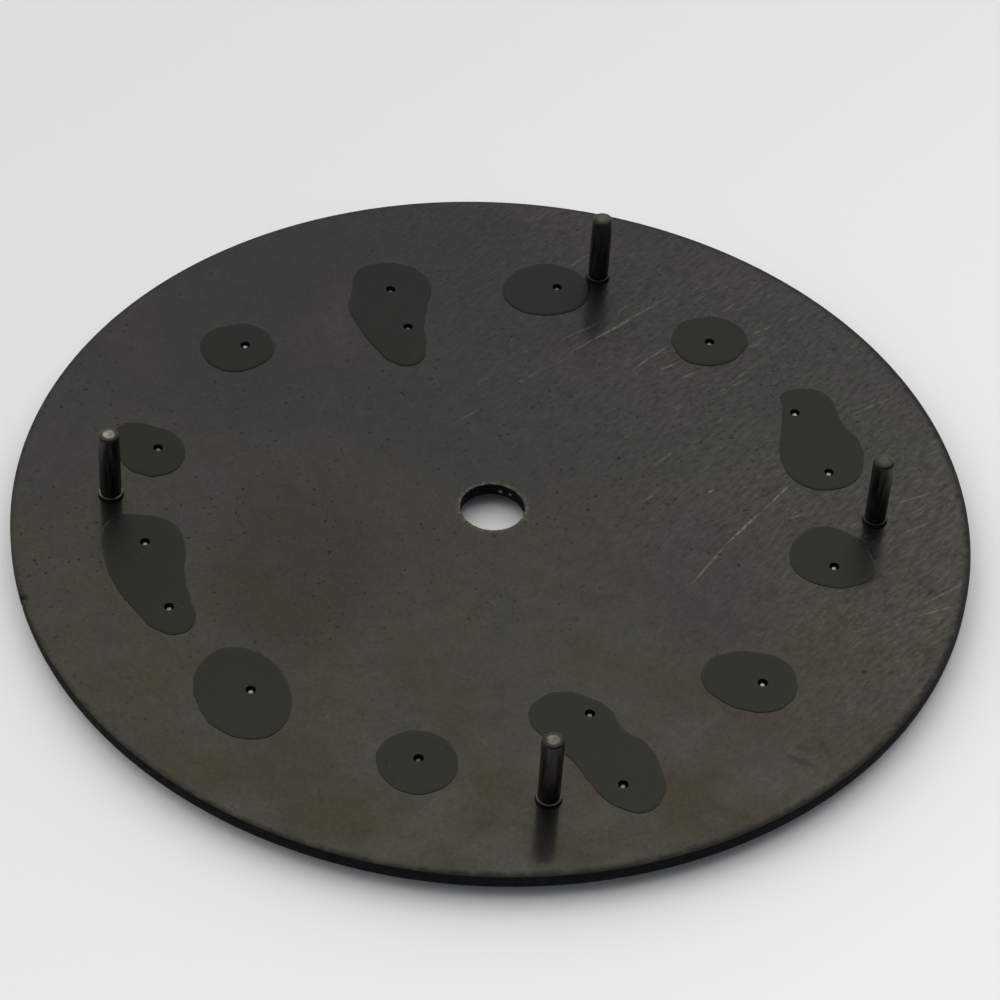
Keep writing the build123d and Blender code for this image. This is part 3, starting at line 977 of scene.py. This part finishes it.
def with_room(outline):
    """An outline without the points beside the long sides, such as the ends of bars, so that each
    corner has room for its wall."""
    corners = set()
    for one, other in zip(outline, outline[1:] + outline[:1]):
        if math.dist(one, other) > numeral_stroke / 2:
            corners |= {one, other}

    def clear(point):
        return min(math.dist(point, corner) for corner in corners) > numeral_wall_room

    return [point for point in outline if point in corners or clear(point)]


def six_outlines():
    """Numeral six: the outline of its ring, stem and hook, and that of its hole."""
    wide = six_bowl_radius + numeral_stroke / 2
    narrow = six_bowl_radius - numeral_stroke / 2
    high = numeral_pin_spacing / 2 - six_bowl_radius
    from_hook, from_ring = meeting(high, -high, narrow, wide, -1)
    tip = 180 - six_hook_angle
    outline = arc(-high, wide, 180, 360 + from_ring)
    outline += arc(high, narrow, from_hook, tip)[1:]
    outline += arc(high, wide, tip, 180)
    return [with_room(outline), arc(-high, narrow, 0, 360)[1:]]


def three_outlines():
    """Numeral three: the outline of two open bowls that meet in the middle."""
    half = numeral_stroke / 2
    top_radius = numeral_pin_spacing / 2 * three_top_share
    low_radius = numeral_pin_spacing / 2 - top_radius
    top = numeral_pin_spacing / 2 - top_radius
    low = low_radius - numeral_pin_spacing / 2
    from_top, from_low = meeting(top, low, top_radius + half, low_radius + half, 1)
    outline = arc(low, low_radius + half, 90 - three_sweep_angle, from_low)
    outline += arc(top, top_radius + half, from_top, three_sweep_angle - 90)[1:]
    outline += arc(top, top_radius - half, three_sweep_angle - 90, -90)
    outline += arc(low, low_radius - half, 90, 90 - three_sweep_angle)
    return [with_room(outline)]


def numeral(outlines):
    """A numeral's frame, raised from its outlines, with its top edge rounded and its pocket sunk,
    and the fill that stands on the pocket's floor."""
    curve = flat_curve("numeral")
    for outline in outlines:
        spline = curve.splines.new("POLY")
        spline.points.add(len(outline) - 1)
        for point, (x, y) in zip(spline.points, outline):
            point.co = (x, y, 0, 1)
        spline.use_cyclic_u = True
    blank = outline_mesh(curve)
    edit(blank)
    select_all()
    bpy.ops.mesh.fill()
    turn_up(blank)
    extrude(marker_height - numeral_chamfer)
    for share in numeral_chamfer_steps:
        bpy.ops.mesh.inset(thickness=numeral_chamfer * share, depth=numeral_chamfer * (1 - share))
    bpy.ops.mesh.inset(thickness=numeral_wall - numeral_chamfer, depth=0)
    extrude(-pocket_depth)
    bpy.ops.mesh.duplicate()
    bpy.ops.mesh.separate(type="SELECTED")
    turn_out()
    leave()
    fill = next(piece for piece in bpy.context.selected_objects if piece != blank)
    edit(fill)
    select_all()
    extrude(pocket_depth - fill_recess)
    turn_out()
    leave()
    return blank, fill


def hour_markers(plating, pin_finish, paste):
    """The twelve markers: a triangle, three numerals and eight dots, each with its pins and fill."""
    dot = round_dot()
    for hour in hours:
        if hour == 12:
            blank, fill = triangle()
        elif hour == 3:
            blank, fill = numeral(three_outlines())
        elif hour in (6, 9):
            blank, fill = numeral(six_outlines())
        else:
            blank, fill = copied(dot[0], "dot"), copied(dot[1], "paste")
        upside_down = hour == 9
        for pin in pin_bars(hour):
            if upside_down:
                pin.data.transform(Matrix.Rotation(math.pi, 4, "Z"))
            boolean(blank, pin, "UNION")
        for piece in (blank, fill):
            onto_face(piece, hour, upside_down)
        number = f"{hour:02d}"
        both = [plating, pin_finish]
        finished(blank, "marker_frame_" + number, both, "hour_marker_" + number, marker_crease)
        for face in blank.data.polygons:
            face.material_index = 1 if face.center.z > -plate_thickness * MM else 0
        labelled(blank, "tarnish", pin_tarnish[hour])
        finished(fill, "lume_paste_" + number, [paste], "lume_fill_" + number, marker_crease)
    for piece in dot:
        bpy.data.objects.remove(piece)


# Stage: card, light and camera

# The card's size in metres, the light's direction, and its dimmest and its brightest level
card_size = 3.0
light_direction = (-0.11, 1.30, 1.0)
dim_level = 0.28
bright_level = 1.50

# The camera's place in millimetres and its turns in degrees, in the frame
camera_place = (-27.0406, -70.3404, 73.5752)
camera_azimuth = -21.1848
camera_pitch = 45.8049
camera_roll = 3.7651
lens_length = 127.37
sensor_width = 36


def stage():
    """A pale card under the dial, and a wide soft light over the far side of it."""
    bpy.ops.object.select_all(action="DESELECT")
    card_height = -(plate_thickness + marker_height) * MM
    bpy.ops.mesh.primitive_plane_add(size=card_size, location=(0, 0, card_height))
    card = bpy.context.object
    card.name = "card"
    card.data.materials.append(white_card())

    world = bpy.data.worlds.new("soft_light")
    bpy.context.scene.world = world
    world.use_nodes = True
    tree = world.node_tree
    tree.nodes.clear()
    direction = add(tree, "TexCoord", output="Generated")
    toward = Vector(light_direction).normalized()
    facing = add(tree, "VectorMath", [direction, toward], "Value", operation="DOT_PRODUCT")
    levels = [facing, 0.0, 0.6, dim_level, bright_level]
    level = add(tree, "MapRange", levels, interpolation_type="SMOOTHSTEP")
    bright = add(tree, "MapRange", [level, dim_level, 0.8])
    colours = {0: bright, 6: linear("#dfeeff"), 7: linear("#ffffff")}
    colour = add(tree, "Mix", colours, 2, data_type="RGBA")
    light = add(tree, "Background", {"Color": colour, "Strength": level})
    add(tree, "OutputWorld", [light])


def camera():
    """The photograph's camera: a long lens close to the dial."""
    data = bpy.data.cameras.new("camera")
    data.sensor_width = sensor_width
    data.lens = lens_length
    data.clip_start = 0.01
    data.clip_end = 20
    viewer = bpy.data.objects.new("camera", data)
    bpy.context.scene.collection.objects.link(viewer)
    place = Matrix.Translation(Vector(camera_place) * MM)
    azimuth = Matrix.Rotation(math.radians(camera_azimuth), 4, "Z")
    pitch = Matrix.Rotation(math.radians(camera_pitch), 4, "X")
    roll = Matrix.Rotation(math.radians(camera_roll), 4, "Z")
    viewer.matrix_world = place @ azimuth @ pitch @ roll
    bpy.context.scene.camera = viewer


stage()
camera()
dial_disc(black_nickel_back(), black_lacquer(), wall_shade_finish())
dial_feet(plated_pin())
adhesive = cured_adhesive()
for hour in hours:
    adhesive_drop(hour, adhesive)
hour_markers(bright_plating(), cropped_pin(), luminous_paste())

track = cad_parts["minute_track"]
track.data.materials.clear()
track.data.materials.append(pad_print())

bpy.context.scene.view_settings.view_transform = "Standard"
